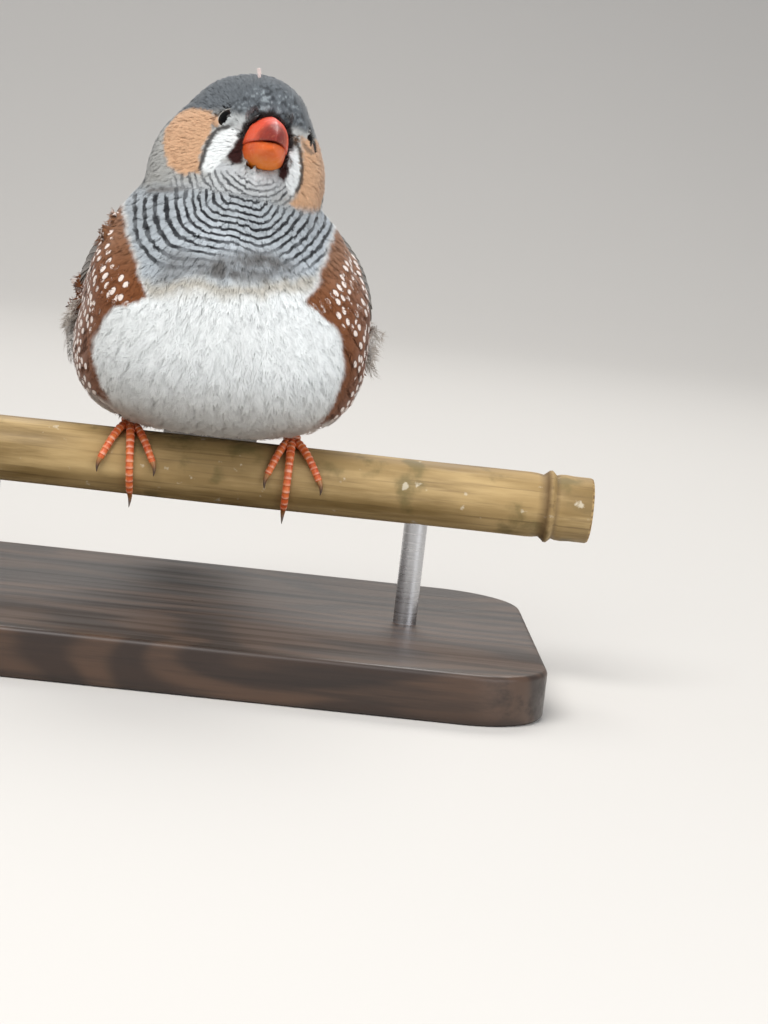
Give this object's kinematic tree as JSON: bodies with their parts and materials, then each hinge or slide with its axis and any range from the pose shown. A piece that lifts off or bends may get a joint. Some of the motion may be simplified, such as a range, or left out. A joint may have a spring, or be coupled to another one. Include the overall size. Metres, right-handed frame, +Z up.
{
  "type": "zebra finch",
  "caption": "Male zebra finch at life size, feathers fluffed at rest and head tilted to its left, gripping a short bamboo perch held on rods over a flat base.",
  "frame": {"origin": "middle of the stand's flat underside", "axes": "+Z up, the bird's breast faces -Y, its left side is +X and the perch lies along X"},
  "size_m": [0.112, 0.0853, 0.0837],
  "materials": {
    "stand_wood": "dark stained hardwood, satin",
    "rod_steel": "brushed",
    "bamboo": "weathered bamboo, matte",
    "body_feathers": "downy feathers, white below, barred breast, chestnut flanks with white spots",
    "neck_feathers": "fine grey feathers barred with black",
    "head_feathers": "short blue-grey feathers, orange-buff cheeks, white tear stripes",
    "eye": "wet gloss, very dark brown",
    "bill_red": "satin coral-red horn",
    "bill_orange": "satin orange horn",
    "tail_feathers": "smooth blackish vanes, black coverts barred with white",
    "wing_feathers": "smooth grey-brown vanes with pale edges",
    "leg_skin": "orange scaled skin",
    "claw_horn": "brown horn"
  },
  "bodies": {
    "root": {"stand_base": "stand_wood", "stand_rod_right": "rod_steel", "stand_rod_left": "rod_steel", "perch": "bamboo", "torso": "body_feathers", "neck": "neck_feathers", "head": "head_feathers", "eye_right": "eye", "eye_left": "eye", "bill_upper": "bill_red", "bill_lower": "bill_orange", "tail": "tail_feathers", "wing_right": "wing_feathers", "wing_left": "wing_feathers", "leg_right": "leg_skin", "claw_right_inner": "claw_horn", "claw_right_middle": "claw_horn", "claw_right_outer": "claw_horn", "claw_right_hind": "claw_horn", "leg_left": "leg_skin", "claw_left_inner": "claw_horn", "claw_left_middle": "claw_horn", "claw_left_outer": "claw_horn", "claw_left_hind": "claw_horn"}
  },
  "joints": []
}
